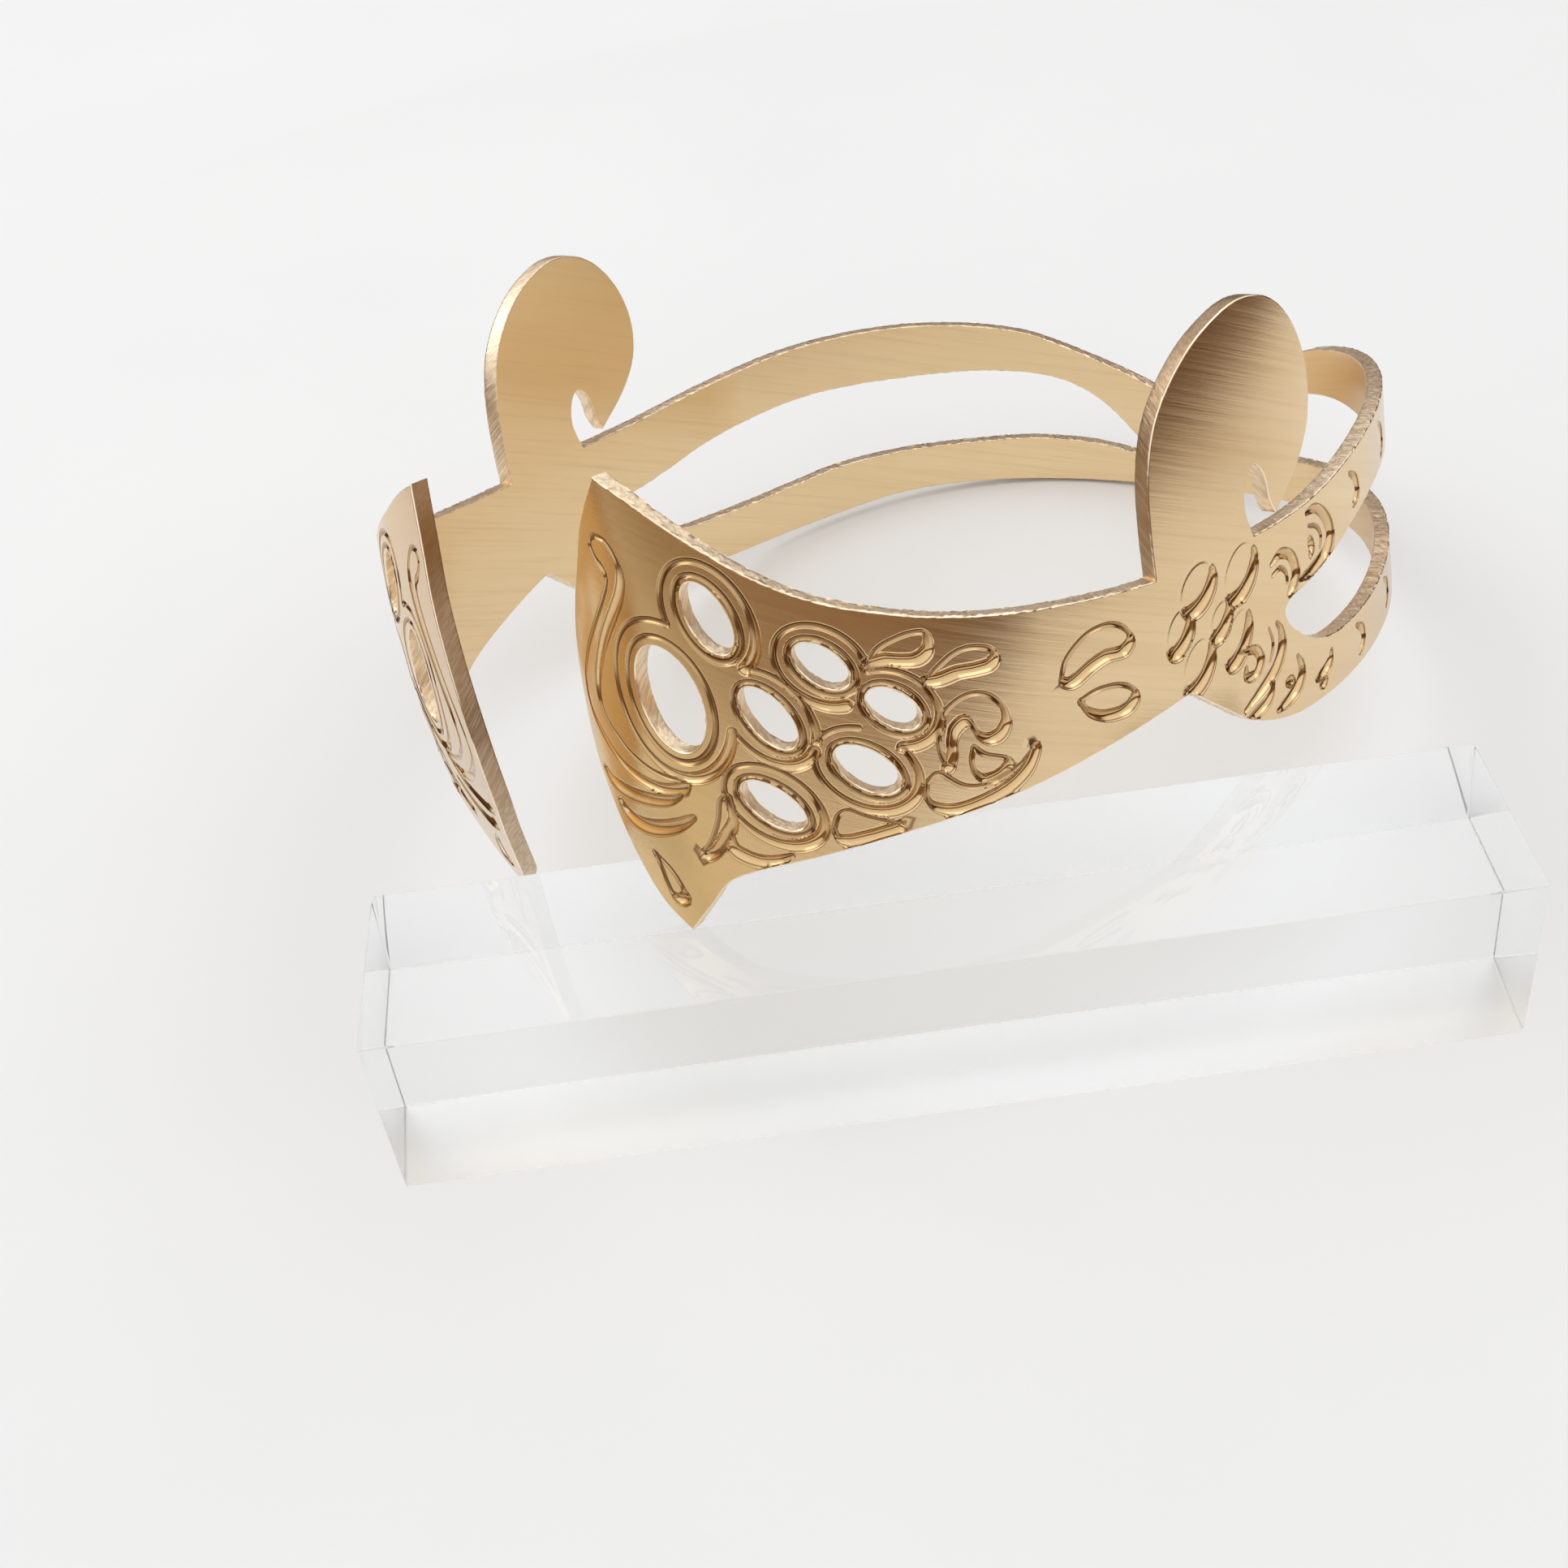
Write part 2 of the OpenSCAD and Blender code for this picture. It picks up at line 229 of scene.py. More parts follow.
# Open strokes. Columns: u, z, half width
STROKES = [
    [(283.6, 0.9, 0.8), (281.6, -0.5, 1.2), (278.4, -1, 1.4), (274.6, -1, 1.3), (270.8, -0.7, 1.2),
     (267.6, -0.1, 1), (265.2, 1, 0.6)],
    [(279.8, -3.6, 0.8), (278.2, -5.3, 1.3), (274.8, -6.2, 1.5), (270.8, -5.8, 1.5),
     (266.6, -4.4, 1.3), (263.2, -2.4, 0.7)],
    [(256.9, -5.2, 0.6), (256.9, -7.2, 1.1), (255.4, -8.4, 1.3), (252.9, -9.3, 1.2),
     (250.3, -9.2, 1), (247.6, -8.3, 0.5)],
    [(139.4, 19.3, 0.5), (136.3, 19.1, 0.9), (133.1, 17, 1.2), (130.6, 13.4, 1.6),
     (131.2, 10.6, 1.7), (134, 9.2, 1.5), (138.6, 8.5, 1.2), (142.6, 8.4, 0.5)],
    [(138.8, 16.8, 0.4), (135.9, 15.6, 0.5), (134.4, 13.4, 0.5), (135, 11.6, 0.4)],
    [(138.6, 14.2, 0.8), (138, 12.6, 1.2), (138.6, 11.4, 0.7)],
    [(151.6, 14.4, 0.5), (148.6, 15.4, 0.9), (145.4, 13.8, 1.1), (144, 11, 1.3), (144.5, 8.8, 1.4),
     (146.2, 7.4, 1)],
    [(151.4, 12.4, 0.4), (149, 12.9, 0.5), (147.2, 11.3, 0.5), (147, 9.6, 0.4)],
    [(150.9, 3.6, 0.5), (149.6, 1.4, 0.9), (149.8, -1.5, 1.3), (152, -4.5, 1.4),
     (156.3, -6.8, 1.3), (161.2, -8.6, 0.6)],
    [(152.9, -6.7, 0.5), (154.3, -9.2, 1), (157.4, -10.2, 1.1), (161, -10.6, 0.6)],
    [(153.4, 3.6, 0.3), (152.5, 1.2, 0.4), (152.6, -0.6, 0.4), (153.6, -2.4, 0.3)],
    [(160.8, 1.8, 0.5), (157.8, 1.4, 0.9), (156.2, -0.8, 1.1), (157.4, -3, 1),
     (160.2, -2.8, 0.9), (160.4, -1, 0.5)],
    [(144.9, -5, 0.5), (143.6, -7.8, 1.1), (144.8, -10.4, 1.4), (148.2, -11.8, 1.3),
     (151.9, -12.4, 0.6)],
    [(148.4, -8.6, 1), (147.2, -8.9, 1.2), (147, -9.8, 0.8)],
    [(132.4, -9.2, 0.6), (133.2, -11, 1.2), (135.6, -12, 1.3), (138.6, -12.2, 0.7)],
    [(137, -13.9, 0.9), (135.9, -14.2, 1), (135, -13.8, 0.7)],
    [(120.4, 19.8, 0.5), (117.2, 17.6, 1.1), (116.6, 14.9, 1.3), (118.8, 13.6, 0.8)],
    [(99.2, 21.9, 0.5), (96, 19.6, 1.1), (95.4, 16.9, 1.3), (97.6, 15.4, 0.8)],
]
# The same small comma goes on along both rails towards the back. Columns: its u, z and half width
# from its middle, then u and z of each middle
RAIL_COMMA = [(2.4, 3, 0.5), (-0.8, 1, 1.1), (-1.2, -1.4, 1.2), (1, -2.8, 0.8)]
RAIL_COMMAS_AT = [
    (75, 19), (55, 17.4), (35, 13.6), (118, -12.4), (98, -11.6), (78, -10.2), (58, -10.5), (38, -11.6),
]
STROKES += [[(u + du, z + dz, half) for du, dz, half in RAIL_COMMA] for u, z in RAIL_COMMAS_AT]

# Half width and depth of a line on its upper left side, and what the lower right side adds
THIN, WIDER = (0.48, 0.34), (0.8, 0.7)
THIN_BLIND, WIDER_BLIND = (0.5, 0.05), (1.15, 1.1)
THIN_INNER_RING, WIDER_INNER_RING = (0.46, 0.4), (0.2, 0.2)
THIN_OUTER_RING, WIDER_OUTER_RING = (0.54, 0.42), (0.62, 0.56)
# Depth of a stroke as a share of its half width
STROKE_DEPTH = 0.85
# The side on which a closed line is widest and deepest, as a direction in u and z
LOW_SIDE = (-0.45, -0.89)
LINE_STEP = 0.45
# A ring broken by its neighbours keeps only the runs of more points than this
SHORTEST_RUN = 12


def double_area(loop):
    """Twice the area of a closed loop, negative where it runs clockwise: the sum of the cross
    products of neighbouring points."""
    return np.sum(loop[:, 0] * np.roll(loop[:, 1], -1) - np.roll(loop[:, 0], -1) * loop[:, 1])


def weighted(ring, thin, wider):
    """Closed line with its half width and depth: least where the ring's outward side looks up
    and to the front of the crown, and most where it looks down and to the back."""
    ring = np.asarray(ring, float)
    ahead = np.roll(ring, -1, 0) - np.roll(ring, 1, 0)
    ahead /= np.linalg.norm(ahead, axis=1)[:, None] + 1e-9
    out = np.stack([ahead[:, 1], -ahead[:, 0]], 1) * np.sign(double_area(ring))
    low = np.clip(out @ LOW_SIDE, 0, 1)[:, None] ** 1.2
    return np.column_stack([ring, np.array(thin) + np.array(wider) * low])


def closed(rows):
    """The rows with the first one again at the end, so that the path closes."""
    return np.concatenate([rows, rows[:1]])


lines = []
for rows in CLOSED_LINES:
    path = even_steps(smooth_curve(closed(np.asarray(rows, float))), LINE_STEP)[:-1]
    lines.append(closed(weighted(path, THIN, WIDER)))
for row in BLIND_OVALS:
    lines.append(closed(weighted(oval(*row, LINE_STEP), THIN_BLIND, WIDER_BLIND)))
for rows in STROKES:
    path = even_steps(smooth_curve(rows), LINE_STEP)
    lines.append(np.column_stack([path, path[:, 2] * STROKE_DEPTH]))
for i, (u, z, a, b, tilt, near, far) in enumerate(OVALS):
    ring = oval(u, z, a + near, b + near, tilt, LINE_STEP)
    lines.append(closed(weighted(ring, THIN_INNER_RING, WIDER_INNER_RING)))
    ring = weighted(oval(u, z, a + far, b + far, tilt, LINE_STEP), THIN_OUTER_RING, WIDER_OUTER_RING)
    # An outer ring stops where it meets that of another oval
    keep = np.ones(len(ring), bool)
    for j, (u2, z2, a2, b2, tilt2, _, far2) in enumerate(OVALS):
        if j != i:
            c, s = math.cos(math.radians(tilt2)), math.sin(math.radians(tilt2))
            du, dz = ring[:, 0] - u2, ring[:, 1] - z2
            keep &= ((du * c + dz * s) / (a2 + far2)) ** 2 + ((dz * c - du * s) / (b2 + far2)) ** 2 > 1
    gaps = np.flatnonzero(~keep)
    if len(gaps):
        ring, keep = np.roll(ring, -gaps[0], 0), np.roll(keep, -gaps[0])
        runs = np.split(np.arange(len(ring)), np.flatnonzero(np.diff(keep.astype(int))) + 1)
        lines += [ring[run] for run in runs if keep[run[0]] and len(run) > SHORTEST_RUN]
    else:
        lines.append(closed(ring))


# How far beyond a line's own points its cut may reach
CUT_REACH = 2
# A cut counts in full once it is SHALLOW + SHALLOW_FADE deep, and as narrow below the half width
# of NARROW - NARROW_FADE
SHALLOW, SHALLOW_FADE = 0.12, 0.25
NARROW, NARROW_FADE = 1.05, 0.45


def cut_depth(points):
    """Depth of the cut at each point of the flat plate: for each line, its depth times a round
    profile of the distance from it, and the deepest of them all. The second result is how far
    into a line the point lies, from 0 at its edge to 1 in its middle, less for a shallow line.
    The third is the same for narrow lines alone."""
    depth, share, narrow = np.zeros(len(points)), np.zeros(len(points)), np.zeros(len(points))
    for line in lines:
        low, high = line[:, :2].min(0) - CUT_REACH, line[:, :2].max(0) + CUT_REACH
        near = np.flatnonzero(((points > low) & (points < high)).all(1))
        if not len(near):
            continue
        a, b = line[:-1], line[1:]
        along = b[:, :2] - a[:, :2]
        length2 = (along**2).sum(1) + 1e-12
        to = points[near][:, None] - a[None, :, :2]
        t = np.clip((to * along).sum(2) / length2, 0, 1)
        away = np.sqrt(((to - t[..., None] * along) ** 2).sum(2))
        width = a[:, 2] + (b[:, 2] - a[:, 2]) * t
        ratio = away / width
        nearest = ratio.argmin(1)
        rows = np.arange(len(near))
        ratio, t, width = ratio[rows, nearest], t[rows, nearest], width[rows, nearest]
        deepest = a[nearest, 3] + (b[nearest, 3] - a[nearest, 3]) * t
        inside = np.clip(1 - ratio**2, 0, 1)
        depth[near] = np.maximum(depth[near], deepest * inside**0.9)
        inside = inside * np.clip((deepest - SHALLOW) / SHALLOW_FADE, 0, 1)
        share[near] = np.maximum(share[near], inside)
        slim = np.clip((NARROW - width) / NARROW_FADE, 0, 1)
        narrow[near] = np.maximum(narrow[near], inside * slim)
    return depth, share, narrow


# ---------------------------------------------------------------------------------------------
# Crown: the plate is bent round the head and set on the block
# The bend follows arcs, a little different on the two halves, as the bending was done by hand.
# The left panel also bulges. Sizes are in millimetres and degrees.
# ---------------------------------------------------------------------------------------------

# Columns: length of the arc, turn of the right half, turn of the left half
BENDS = [
    (51, 46.5, 39), (51, 33.5, 30), (51, 19.5, 21.5), (51, 15.5, 20), (28, 24.5, 21),
    (28, 28.5, 23.5), (36, 60, 3.5),
]
# Lean of the wall at the back and at the front of each half
LEAN_BACK, LEAN_RIGHT, LEAN_LEFT = -3, -1, 6
# The bulge: how far out, the height of its middle and half its height
BULGE, BULGE_MIDDLE, BULGE_HALF = 8, 15, 38
# Where the lean and the bulge are full
FRONT_U = 292
TILT_FORWARD, TILT_SIDE = -11, -8.5
CROWN_AT = (-11.8, 123.1, 20.45)


def turned(axis, degrees):
    """Matrix of a turn about axis 0, 1 or 2: cosines for the other two axes, the sine from the
    first of them to the second and minus the sine back."""
    turn = math.radians(degrees)
    i, j = (axis + 1) % 3, (axis + 2) % 3
    matrix = np.eye(3)
    matrix[i, i] = matrix[j, j] = math.cos(turn)
    matrix[j, i], matrix[i, j] = math.sin(turn), -math.sin(turn)
    return matrix


def bent(points, out, left):
    """Place of flat points in the row's frame, in metres, out millimetres outside the middle of
    the plate. The plan is a chain of arcs, the wall leans with the square of the distance from
    the back, and on the left half a bulge grows with the fourth power of that distance and
    falls with the square of the height from its middle."""
    w, z = points[:, 0].copy(), points[:, 1]
    share = w / FRONT_U
    x, y, heading = np.zeros_like(w), np.zeros_like(w), np.zeros_like(w)
    for i, row in enumerate(BENDS):
        turn = math.radians(row[2 if left else 1])
        step = w if i == len(BENDS) - 1 else np.clip(w, 0, row[0])
        w = w - step
        radius, new = row[0] / turn, heading + turn * step / row[0]
        x += radius * (np.sin(new) - np.sin(heading))
        y += radius * (np.cos(new) - np.cos(heading))
        heading = new
    lean = np.radians(LEAN_BACK + ((LEAN_LEFT if left else LEAN_RIGHT) - LEAN_BACK) * share**2)
    away = out * np.cos(lean) + z * np.sin(lean)
    if left:
        away = away + BULGE * share**4 * (1 - ((z - BULGE_MIDDLE) / BULGE_HALF) ** 2)
    sign = -1 if left else 1
    x = sign * (x + away * np.sin(heading))
    p = np.stack([x, y + away * np.cos(heading), z * np.cos(lean) - out * np.sin(lean)], 1)
    return (p @ (turned(1, TILT_SIDE) @ turned(0, TILT_FORWARD)).T + CROWN_AT) / 1000


# ---------------------------------------------------------------------------------------------
# Crown: the mesh
# Both faces are cut from the outline by a Delaunay triangulation of the flat plate. On the outer
# face it has rows of points along each cut line. The rough edge joins the faces.
# ---------------------------------------------------------------------------------------------

# Radius of the round lip between a face and the cut edge
LIP = 0.28
# The half plate's flat box, and the height of a triangle of equal sides, of side 1
LOWEST, HIGHEST, FURTHEST = -26, 64, 294
ROW = 0.866
# A square cell's number is its column and row times these
CELL = (100003, 1)
# Points tested against the loops in one go
BATCH = 4000


def grid_points(step):
    """Staggered rows of points over the half plate, step apart along and to the next row."""
    z = np.arange(LOWEST, HIGHEST, step * ROW)
    u = np.arange(step / 2, FURTHEST, step)
    uu, zz = np.meshgrid(u, z)
    uu = uu + (np.arange(len(z)) % 2)[:, None] * step / 2
    return np.stack([uu.ravel(), zz.ravel()], 1)


def far_from(points, others, reach):
    """True where a point's own square cell, of side reach, and its eight neighbours hold none of
    the others."""
    cells = np.floor(points / reach).astype(np.int64) @ CELL
    taken = np.floor(others / reach).astype(np.int64) @ CELL
    steps = np.array([(i, j) for i in (-1, 0, 1) for j in (-1, 0, 1)]) @ CELL
    return ~np.isin(cells, np.unique(taken[:, None] + steps))


def inside_loops(points, loops):
    """Even-odd rule: how many edges of the loops lie to the right of each point."""
    a = np.concatenate(loops)
    b = np.concatenate([np.roll(loop, -1, 0) for loop in loops])
    odd = np.zeros(len(points), bool)
    for part in np.array_split(np.arange(len(points)), max(1, len(points) // BATCH)):
        z = points[part, 1][:, None]
        crosses = (a[:, 1] > z) != (b[:, 1] > z)
        with np.errstate(divide="ignore", invalid="ignore"):
            at = a[:, 0] + (z - a[:, 1]) * (b[:, 0] - a[:, 0]) / (b[:, 1] - a[:, 1])
        odd[part] = (crosses & (at > points[part, 0][:, None])).sum(1) % 2 == 1
    return odd


# The plate lies to the left of every loop: the outline runs counter-clockwise and holes clockwise
plate_loops = [outline[::-1]] + [hole[::-1] if double_area(hole) > 0 else hole for hole in holes]
edge_of_point = outline_edge[::-1]
face_loops = [inset(plate_loops[0], False, LIP)] + [inset(loop, True, LIP) for loop in plate_loops[1:]]
face_loops[0][[0, -1], 0] = 0
SEAM_POINTS = 16
seam_z = np.linspace(face_loops[0][-1, 1], face_loops[0][0, 1], SEAM_POINTS + 2)[1:-1]
seam = np.column_stack([np.zeros(SEAM_POINTS), seam_z])
whole_outline = [np.concatenate([face_loops[0], seam])] + face_loops[1:]


def triangulated(inner_points):
    """Triangles of the half plate over its loops, the seam at the back and the given points.
    Loop points come first, in order, and keep their numbers. Edges are found by one number
    each, which is the first end's number times the count of points, plus the second's."""
    loop = np.concatenate(face_loops + [seam])
    links, first = [], 0
    for i, part in enumerate(face_loops):
        ids = list(range(first, first + len(part)))
        pairs = list(zip(ids, ids[1:] + ids[:1]))
        links += pairs[:-1] if i == 0 else pairs
        first += len(part)
    chain = [len(face_loops[0]) - 1, *range(first, first + len(seam)), 0]
    links += list(zip(chain[:-1], chain[1:]))
    points = np.concatenate([loop, inner_points])
    # Output 0 is every triangle within the points' hull
    vectors = [Vector(point) for point in points.tolist()]
    _, _, faces, origins, _, _ = delaunay_2d_cdt(vectors, links, [], 0, 1e-6, True)
    first_origin = np.array([origin[0] for origin in origins])
    faces = first_origin[np.array(faces)]
    # A triangle on a loop is on the plate if it lies to the left of the loop's own direction
    width = len(points)
    edges = np.stack([faces, np.roll(faces, -1, 1)], -1)
    loop_edges = np.array(links) @ (width, 1)
    on = np.isin(edges @ (width, 1), loop_edges).any(1)
    off = np.isin(edges @ (1, width), loop_edges).any(1)
    return points, faces[on | (~off & inside_loops(points[faces].mean(1), whole_outline))]


# Points across each cut line, as shares of its half width
ACROSS = np.array([-1.25, -1, -0.7, -0.25, 0.25, 0.7, 1, 1.25])
# Distance between these rows along a line, and the least that is kept between two of their points
ROW_STEP, LEAST_STEP = 0.55, 0.05
# Side of the plain triangles of the outer and the inner face, and how far from loops and cut lines
# points stay: rows across from loops, plain ones from both, plain ones of the inner face
OUTER_GRID, INNER_GRID = 1.7, 2.6
ROWS_CLEAR, OUTER_CLEAR, INNER_CLEAR = 0.22, 0.55, 0.6
rows_across = []
for line in lines:
    spaced = even_steps(line, ROW_STEP)
    ahead = np.gradient(spaced[:, :2], axis=0)
    ahead /= np.linalg.norm(ahead, axis=1)[:, None] + 1e-9
    side = np.stack([-ahead[:, 1], ahead[:, 0]], 1)
    spread = spaced[:, None, :2] + side[:, None] * (ACROSS[None, :, None] * spaced[:, None, 2:3])
    rows_across.append(spread.reshape(-1, 2))
    # Round ends: a fan of five points, three times, at shares of the half width
    for end, away in ((0, -1), (-1, 1)):
        turn = np.radians(np.arange(-60, 61, 30))[:, None]
        fan = away * ahead[end] * np.cos(turn) + side[end] * np.sin(turn)
        for reach in (0.6, 1, 1.25):
            rows_across.append(spaced[end, :2] + fan * reach * spaced[end, 2])
rows_across = np.concatenate(rows_across)
cells = np.floor(rows_across / LEAST_STEP).astype(np.int64) @ CELL
rows_across = rows_across[np.unique(cells, return_index=True)[1]]
loop_points = np.concatenate(face_loops)
clear = far_from(rows_across, loop_points, ROWS_CLEAR)
rows_across = rows_across[clear & inside_loops(rows_across, whole_outline)]
plain = grid_points(OUTER_GRID)
plain = plain[far_from(plain, np.concatenate([rows_across, loop_points]), OUTER_CLEAR)]
plain = plain[inside_loops(plain, whole_outline)]
outer_points, outer_faces = triangulated(np.concatenate([rows_across, plain]))
plain = grid_points(INNER_GRID)
plain = plain[far_from(plain, loop_points, INNER_CLEAR)]
inner_points, inner_faces = triangulated(plain[inside_loops(plain, whole_outline)])

depth, share, narrow = cut_depth(outer_points)
# Steps to the east, west, north and south of a point, between which a slope is taken
NEAR = 0.05
AROUND = ((NEAR, 0), (-NEAR, 0), (0, NEAR), (0, -NEAR))
depth_around = [cut_depth(outer_points + step)[0] for step in AROUND]


def face_normals(points, out_around, left):
    """Outward normal of a face at each point: the cross product of the steps across it along u
    and along z, taken between the places a little to either side."""
    east, west, north, south = (bent(points + step, out, left) for step, out in zip(AROUND, out_around))
    normal = np.cross(east - west, north - south)
    normal /= np.linalg.norm(normal, axis=1)[:, None]
    middle = sum(out_around) / 4
    outward = bent(points, middle + 0.5, left) - bent(points, middle - 0.5, left)
    return normal * np.sign((normal * outward).sum(1) * middle)[:, None]


# Rows of points across the cut edge, from the outer to the inner face. Columns: share of the
# round lip that is left, distance outside the middle of the plate
EDGE_ROWS = [
    (0.5, 1.46), (0.15, 1.36), (0, 1.2), (0, 0.4), (0, -0.4), (0, -1.2), (0.15, -1.36), (0.5, -1.46),
]
# How rough the router left each edge, in millimetres: upper rail, notch, horn, panel top,
# panel front, panel bottom, lower rail, and then the eye and the oval holes
ROUGHNESS = np.array([0.05, 0.025, 0.02, 0.07, 0.02, 0.03, 0.04])
EYE_ROUGHNESS, HOLE_ROUGHNESS = 0.06, 0.04
# Its mean, which goes into the plate, and its shares on the rows by the faces and out of the plate
ROUGH_MEAN, ROUGH_BY_FACES, ROUGH_OUTWARDS = 0.4, 0.6, 0.3
HORN_EDGE, FRONT_EDGE = EDGES.index(HORN), EDGES.index(PANEL_FRONT)
# The surface that a vertex belongs to: 1 is the outer face and 0 the inner one
ON_LIP, ON_EDGE = 0.78, 0.5
rng = np.random.default_rng(11)


def half_crown(left):
    """For each vertex its place in metres, its flat u and z in millimetres, the cut's two shares,
    its surface, its normal, which is zero on the edge, where the mesh's own serves, and how much
    painted shade browns it, and then the faces. Each loop of the plate is carried across the edge row by
    row."""
    outer, inner = len(outer_points), len(inner_points)
    inside = np.full(inner, -PLATE / 2)
    # The halves mirror each other, so one of them has its triangles turned round
    turn = slice(None) if left else slice(None, None, -1)
    places = [bent(outer_points, PLATE / 2 - depth, left), bent(inner_points, inside, left)]
    flat = [outer_points, inner_points]
    marks = [np.stack([share, narrow], 1), np.zeros((inner, 2))]
    surfaces = [np.ones(outer), np.zeros(inner)]
    normals = [
        face_normals(outer_points, [PLATE / 2 - d for d in depth_around], left),
        face_normals(inner_points, [inside] * 4, left),
    ]
    browned = [np.zeros(outer), np.zeros(inner)]
    faces = [outer_faces[:, turn], (inner_faces[:, ::-1] + outer)[:, turn]]
    count = outer + inner
    first = 0
    for i, loop in enumerate(plate_loops):
        n = len(loop)
        if i == 0:
            rough = ROUGHNESS[edge_of_point]
            # The left panel's front edge and the right horn's edge get painted shade, brown in the material
            shaded_edge = np.where(edge_of_point == (FRONT_EDGE if left else HORN_EDGE), 1.0, 0)
        else:
            rough = np.full(n, EYE_ROUGHNESS if i == 1 else HOLE_ROUGHNESS)
            shaded_edge = np.zeros(n)
        rows = [np.arange(first, first + n)]
        for k, (left_over, out) in enumerate(EDGE_ROWS):
            by_face = k in (0, len(EDGE_ROWS) - 1)
            jitter = rng.normal(ROUGH_MEAN, 1, n) * rough * (ROUGH_BY_FACES if by_face else 1)
            ring = inset(loop, i > 0, left_over * LIP + jitter)
            if i == 0:
                ring[[0, -1], 0] = 0
            outwards = rng.normal(0, 1, n) * rough * ROUGH_OUTWARDS
            places.append(bent(ring, np.full(n, out) + outwards, left))
            flat.append(ring + np.array([0, out]))
            marks.append(np.zeros((n, 2)))
            browned.append(shaded_edge * (k > 1))
            surfaces.append(np.full(n, ON_EDGE if k > 1 else ON_LIP))
            normals.append(np.zeros((n, 3)))
            rows.append(np.arange(count, count + n))
            count += n
        rows.append(np.arange(first, first + n) + outer)
        first += n
        for upper, lower in zip(rows[:-1], rows[1:]):
            a, b, c, d = upper, np.roll(upper, -1), np.roll(lower, -1), lower
            quads = np.stack([a, d, c, b], 1)
            if i == 0:
                quads = quads[:-1]
            halves = np.concatenate([quads[:, [0, 1, 2]], quads[:, [0, 2, 3]]])
            faces.append(halves[:, turn])
    return [np.concatenate(rows) for rows in (places, flat, marks, surfaces, normals, browned, faces)]


*right, right_faces = half_crown(False)
*left, left_faces = half_crown(True)
left[1] = left[1] * (-1, 1)
places, flat, marks, surfaces, normals, browned = (np.concatenate(both) for both in zip(right, left))
half = len(right[0])
faces = np.concatenate([right_faces, left_faces + half])
# The halves share the vertices of the seam at the back
on_seam = np.flatnonzero(np.abs(flat[:, 0]) < 1e-6)
seam_right, seam_left = on_seam[on_seam < half], on_seam[on_seam >= half]
number = np.arange(len(places))
number[seam_left] = seam_right
places[seam_left] = places[seam_right]
normals[seam_right] = normals[seam_right] + normals[seam_left]
normals /= np.linalg.norm(normals, axis=1)[:, None] + 1e-9
faces = number[faces]
used, faces = np.unique(faces, return_inverse=True)
faces = faces.reshape(-1, 3)
# The rough edge stays inside the box of the CAD node
low, high = (np.array(corner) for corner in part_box("crown"))
places = np.clip(places[used], low + 1e-5, high - 1e-5)

mesh = bpy.data.meshes.new("engraved_crown")
mesh.from_pydata(places, [], faces)
for name, values in (
    ("cut", marks[used][:, 0]),
    ("narrow", marks[used][:, 1]),
    ("surface", surfaces[used]),
    ("browned", browned[used]),
):
    mesh.attributes.new(name, "FLOAT", "POINT").data.foreach_set("value", values.astype(np.float32))
uv = mesh.uv_layers.new(name="plate")
corner = np.empty(len(mesh.loops), np.int32)
mesh.loops.foreach_get("vertex_index", corner)
# The sheet was brushed at a slant that rises towards the front, so the second coordinate is the
# height less a smooth slope: SLANT times the growth of the distance from a point SLANT_FROM aside
SLANT, SLANT_FROM = 0.42, 60
along, up = flat[used][corner].T
slanted = np.stack([along, up - SLANT * (np.hypot(along, SLANT_FROM) - SLANT_FROM)], 1)
uv.data.foreach_set("uv", (slanted / 1000).astype(np.float32).ravel())
mesh.polygons.foreach_set("use_smooth", np.ones(len(mesh.polygons), bool))
mesh.set_sharp_from_angle(angle=math.radians(50))
flat_faces = np.abs(surfaces[used][faces] - surfaces[used][faces[:, :1]]).max(1) < 0.1
corner_normals = normals[used][corner].reshape(-1, 3, 3) * flat_faces[:, None, None]
mesh.normals_split_custom_set(corner_normals.reshape(-1, 3).tolist())
crown = bpy.data.objects.new("engraved_crown", mesh)
bpy.context.scene.collection.objects.link(crown)
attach(crown, "root")
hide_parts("crown")


# ---------------------------------------------------------------------------------------------
# Crown: the finish
# Brass brushed along the plate. The cut lines are painted a brighter amber as reflection, and brown at their
# rims as shade and residue. The lips are painted pale as highlight, and the cut edges are grainy, as the
# router left them, with pale specks painted on as glints.
# ---------------------------------------------------------------------------------------------


class Value:
    """A shader socket, or what an expression on sockets gives."""

    def __init__(self, tree, socket):
        self.tree, self.socket = tree, socket

    def math(self, operation, a, b=None, clamp=False):
        """A Math node on a and b, each a Value or a number."""
        node = self.tree.nodes.new("ShaderNodeMath")
        node.operation, node.use_clamp = operation, clamp
        for i, item in enumerate((a, b)):
            if isinstance(item, Value):
                self.tree.links.new(item.socket, node.inputs[i])
            elif item is not None:
                node.inputs[i].default_value = item
        return Value(self.tree, node.outputs[0])

    def __add__(self, other):
        return self.math("ADD", self, other)

    def __sub__(self, other):
        return self.math("SUBTRACT", self, other)

    def __mul__(self, other):
        return self.math("MULTIPLY", self, other)

    def __truediv__(self, other):
        return self.math("DIVIDE", self, other)

    def __rsub__(self, other):
        return self.math("SUBTRACT", other, self)

    __radd__, __rmul__ = __add__, __mul__

    def absolute(self):
        """The value without its sign."""
        return self.math("ABSOLUTE", self)

    def within(self):
        """The value held between 0 and 1."""
        return self.math("ADD", self, 0.0, clamp=True)


